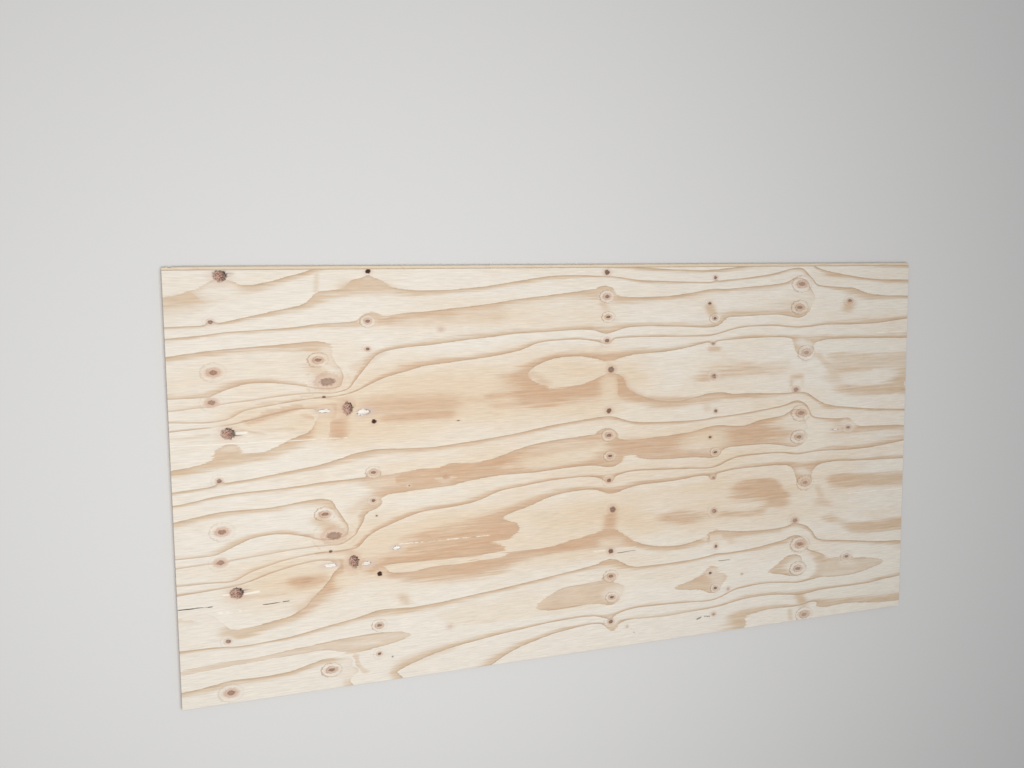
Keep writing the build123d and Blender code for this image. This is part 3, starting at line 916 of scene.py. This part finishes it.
    # The dark heart has its own 3 mm grain and a darker pith. A red one, cut straight across, is paler in the
    # middle.
    speckle = add("TexNoise", place, 330.0, 3.0)
    heart_colour = add("Mix RGBA", red, "#5c3015", "#92553b")
    pith = add("MapRange", reach, 0.2, 0.9, 0.36, 0.0)
    pith_share = add("Math MULTIPLY_ADD", red, -0.6, 1.0)
    pith_share = add("Math MULTIPLY", pith_share, dark)
    pith = add("Math MULTIPLY", pith, pith_share)
    speckled = add("Math SUBTRACT", speckle, pith)
    speckled = add("MapRange", speckled, 0.32, 0.5)
    clouded = add("MapRange", uneven, 0.42, 0.56, 0.45, 1.0)
    speckled = add("Math MULTIPLY", speckled, clouded)
    heart_colour = add("Mix RGBA", speckled, "#38180a", heart_colour)
    heart_shown = add("Math MULTIPLY", heart, shown)
    hollow = add("MapRange", reach, 0.1, 0.7, -0.3, 0.0)
    hollow = add("Math MULTIPLY_ADD", hollow, red, 1.0)
    filled = add("Math MULTIPLY", heart_shown, dark, hollow)
    colour = add("Mix RGBA", filled, colour, heart_colour)

    # A loose knot is a mottled disc with painted shade towards the right, and a crack at its rim painted
    # black as its shade, heaviest on the right and upper side
    loose = add("Math MULTIPLY", heart_shown, spot_loose)
    mottled = add("MapRange", speckle, 0.38, 0.6)
    loose_colour = add("Mix RGBA", mottled, "#70493c", "#d2ad9a")
    colour = add("Mix RGBA", loose, colour, loose_colour)
    # Painted shade over the right part of the disc
    shadow = add("MapRange", across, 0.0, 1.0, 0.0, 0.75)
    shadow = add("Math MULTIPLY", shadow, loose)
    colour = add("Mix RGBA", shadow, colour, "#45261f")
    patchy = add("MapRange", speckle, 0.4, 0.54, 0.15, 1.0)
    # Side where the painted shade is heaviest: towards the right and upwards
    shaded_side = add("Math MULTIPLY_ADD", across, 0.5, 0.6)
    shaded_side = add("Math MULTIPLY_ADD", upward, 0.35, shaded_side, use_clamp=True)
    crack_shade = add("Math MULTIPLY", rim, spot_loose, shown, patchy, shaded_side)

    # Splinters run out from it along the fibres, painted black as their shade, mostly on the right and upper
    # side
    level = add("Math ABSOLUTE", upward)
    level = add("MapRange", level, 0.35, 0.75, 1.0, 0.0)
    rays = add("MapRange", grain, 0.5, 0.58)
    rays_end = add("MapRange", smooth_reach, 1.0, 2.5, 0.9, 0.0)
    outside = add("Math SUBTRACT", 1.0, heart)
    rays = add("Math MULTIPLY", rays, rays_end, level, shaded_side, spot_loose, outside, shown)
    crack_shade = add("Math MAXIMUM", crack_shade, rays)
    # Painted black shade in the crack and the splinters
    colour = add("Mix RGBA", crack_shade, colour, "#15100c")

    # Torn wood is white and shredded, with dark splinters at its rim
    shreds = add("MapRange", bundle, 0.36, 0.5)
    open_wood = add("Math MULTIPLY", heart_shown, torn_open, shreds)
    colour = add("Mix RGBA", open_wood, colour, "#fbf7ef")
    ragged = add("MapRange", uneven, 0.44, 0.52)
    splinter = add("Math MULTIPLY", rim, torn_open, shown, ragged, patchy, 0.7)
    colour = add("Mix RGBA", splinter, colour, "#3a2a20")

    # Long marks wander off their line by up to 2.5 mm and break off here and there. Scratches show pale fresh
    # wood, and splits show dark.
    wander = add("TexNoise", add("Mapping", place, Scale=cells(50, 50)), 1.0, 3.0)
    aside = add("Math ABSOLUTE", moved_about(add, off_line, wander, 5.0))
    width = add("Math MULTIPLY", half_width, 1.4)
    stroke = add("Math DIVIDE", aside, width)
    stroke = add("MapRange", stroke, 0.5, 1.1, 1.0, 0.0)
    broken = add("TexNoise", add("Mapping", place, Location=(7.0, 0, 0), Scale=cells(45, 50)), 1.0, 4.0, 0.7)
    kept = add("Math MULTIPLY_ADD", left_out, 0.55, 0.22)
    kept_high = add("Math ADD", kept, 0.08)
    broken = add("MapRange", broken, kept, kept_high)
    ending = add("MapRange", to_end, -1.0, 4.0)
    stroke = add("Math MULTIPLY", stroke, broken, ending, mark_shown)
    lighter = add("Math MULTIPLY", stroke, tone, use_clamp=True)
    lighter = add("Math MULTIPLY", lighter, 0.8)
    colour = add("Mix RGBA", lighter, colour, "#fcf6ea")
    darker = add("Math MULTIPLY", stroke, tone)
    darker = add("Math MULTIPLY", darker, -1.0, use_clamp=True)
    colour = add("Mix RGBA", darker, colour, "#33231a")

    # Relief: fibres stand 0.1 mm, and hearts and splits lie lower
    height = add("Math MULTIPLY_ADD", fibre, 0.7, bundle)
    sunk = add("Math MULTIPLY", filled, speckle)
    height = add("Math SUBTRACT", height, sunk, darker)
    bump = add("Bump", output="Normal", Height=height, Distance=0.12 * mm, Strength=0.5)
    dullness = add("MapRange", bundle, 0.0, 1.0, roughness - 0.06, roughness + 0.08)
    surface = {"Specular IOR Level": 0.35, "IOR": 1.5, "Roughness": dullness, "Normal": bump}
    add("OutputMaterial", add("BsdfPrincipled", colour, **surface))
    return material


def cut_plies(name, end_grain_first, lengthways, rough):
    """A cut through the plies of a pine sheet. Plies with their fibres along the cut show pale long grain,
    and those with their fibres across it show darker, torn end grain. Brown glue lines part them, drawn
    0.3 mm thick where real ones are half that, so that they show."""
    material, add, place = new_finish(name)
    long_cells, torn_cells = cells(50, 1.2, 1.2, lengthways), cells(3.5, 0.8, 0.8, lengthways)
    streaks = add("TexNoise", add("Mapping", place, Scale=long_cells), 1.0, 3.0, 0.6)
    tears = add("TexNoise", add("Mapping", place, Scale=torn_cells), 1.0, 2.0, 0.7)

    # Level in plies, with each glue line wandering by a tenth of a ply
    wave = add("TexNoise", place, 9.0, 2.0)
    level = add("Math MULTIPLY", add("SeparateXYZ", place).node.outputs["Z"], 1 / (ply * mm))
    level = moved_about(add, level, wave, 0.22)
    number = add("Math FLOOR", level)
    crossing = add("Math FLOORED_MODULO", number, 2.0)
    if end_grain_first:
        crossing = add("Math SUBTRACT", 1.0, crossing)
    centre = add("Math SUBTRACT", add("Math FRACT", level), 0.5)
    centre = add("Math ABSOLUTE", centre)
    glue = add("MapRange", centre, 0.415, 0.455)
    glue = add("Math MULTIPLY", glue, 0.75)
    long_colour = add("ValToRGB", streaks, stops=[(0.3, "#d6c1a4"), (0.5, "#e6d5bc"), (0.72, "#efe3ce")])
    end_colour = add("ValToRGB", tears, stops=[(0.3, "#8d6743"), (0.5, "#b08a60"), (0.72, "#c9a67b")])
    colour = add("Mix RGBA", crossing, long_colour, end_colour)
    colour = add("Mix RGBA", glue, colour, "#5f4330")

    # Small gaps in the crossing plies, 3 to 10 mm long, where core strips don't quite meet
    gap_place = add("Mapping", place, Scale=cells(16, np.inf, np.inf, lengthways))
    gap_place = add("VectorMath ADD", gap_place, add("CombineXYZ", number, number, number))
    gap = add("TexNoise", gap_place, 1.0, 0.0)
    gap = add("MapRange", gap, 0.775, 0.80)
    thin = add("MapRange", centre, 0.32, 0.4, 1.0, 0.0)
    gap = add("Math MULTIPLY", gap, crossing, thin)
    colour = add("Mix RGBA", gap, colour, "#24180f")
    height = add("Math MULTIPLY_ADD", tears, crossing, streaks)
    height = add("Math SUBTRACT", height, gap, glue)
    bump = add("Bump", output="Normal", Height=height, Distance=rough * mm, Strength=0.6)
    surface = {"Specular IOR Level": 0.3, "IOR": 1.5, "Roughness": 0.78, "Normal": bump}
    add("OutputMaterial", add("BsdfPrincipled", colour, **surface))
    return material


finishes = [
    peeled_pine("peeled_pine_face", "#efe7da", "#e9d5ba", "#d9c0a3", "#d3ad8c", "#b3987e", 0.2, 0.66),
    peeled_pine("peeled_pine_back", "#eadfcc", "#e0cba9", "#d6b690", "#cca57d", "#b39270", 0.5, 0.74),
    cut_plies("milled_pine_plies", False, True, 0.15),
    cut_plies("sawn_pine_plies", True, False, 0.3),
]
for finish in finishes:
    sheet.data.materials.append(finish)
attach(sheet, "root")
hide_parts("plywood_sheet")


def floor_plane():
    """A plain pale floor, flat and wide enough to fill the view: one square of four corners."""
    reach = 30.0
    mesh = bpy.data.meshes.new("studio_floor")
    square = [(-reach, -reach, 0), (reach, -reach, 0), (reach, reach, 0), (-reach, reach, 0)]
    mesh.from_pydata(square, [], [(0, 1, 2, 3)])
    floor = bpy.data.objects.new("studio_floor", mesh)
    bpy.context.scene.collection.objects.link(floor)
    material, add, _ = new_finish("pale_floor_paint")
    surface = {"Specular IOR Level": 0.1, "Roughness": 0.9}
    add("OutputMaterial", add("BsdfPrincipled", "#dfdfde", **surface))
    mesh.materials.append(material)
    return floor


floor_plane()

# Soft studio light: one wide lamp from the groove side and the left, and an even pale surround
world = bpy.data.worlds.new("studio_surround")
bpy.context.scene.world = world
world.use_nodes = True
world.node_tree.nodes["Background"].inputs["Color"].default_value = linear("#f6f8fb")
world.node_tree.nodes["Background"].inputs["Strength"].default_value = 0.3


def softbox(name, place, target, size, power, colour):
    """A square area lamp at a place, turned to face its target, out of the camera's sight."""
    lamp = bpy.data.lights.new(name, "AREA")
    lamp.size, lamp.energy, lamp.color = size, power, linear(colour)[:3]
    box = bpy.data.objects.new(name, lamp)
    box.location = place
    box.rotation_mode = "QUATERNION"
    box.rotation_quaternion = (Vector(target) - Vector(place)).to_track_quat("-Z", "Y")
    box.visible_camera = False
    bpy.context.scene.collection.objects.link(box)


softbox("key_light", (-0.82, 0.08, 3.1), (-0.32, 0.38, 0.0), 2.4, 84.0, "#fffdfb")

# Camera: the place, view and lens that lay the face's four corners on those in the photograph
camera_place = (-1.21834, 0.55993, 2.79428)
view_along = Vector((0.33029, -0.10328, -0.93821))
view_up = Vector((0.04513, 0.99459, -0.0936))
camera_data = bpy.data.cameras.new("camera")
camera_data.sensor_width, camera_data.lens = 36.0, 34.6016
camera_data.clip_start, camera_data.clip_end = 0.05, 200.0
camera = bpy.data.objects.new("camera", camera_data)
view_right = view_along.cross(view_up).normalized()
turned = Matrix((view_right, view_right.cross(view_along), -view_along)).transposed()
camera.matrix_world = Matrix.Translation(camera_place) @ turned.to_4x4()
bpy.context.scene.collection.objects.link(camera)
bpy.context.scene.camera = camera
bpy.context.scene.view_settings.view_transform = "Standard"
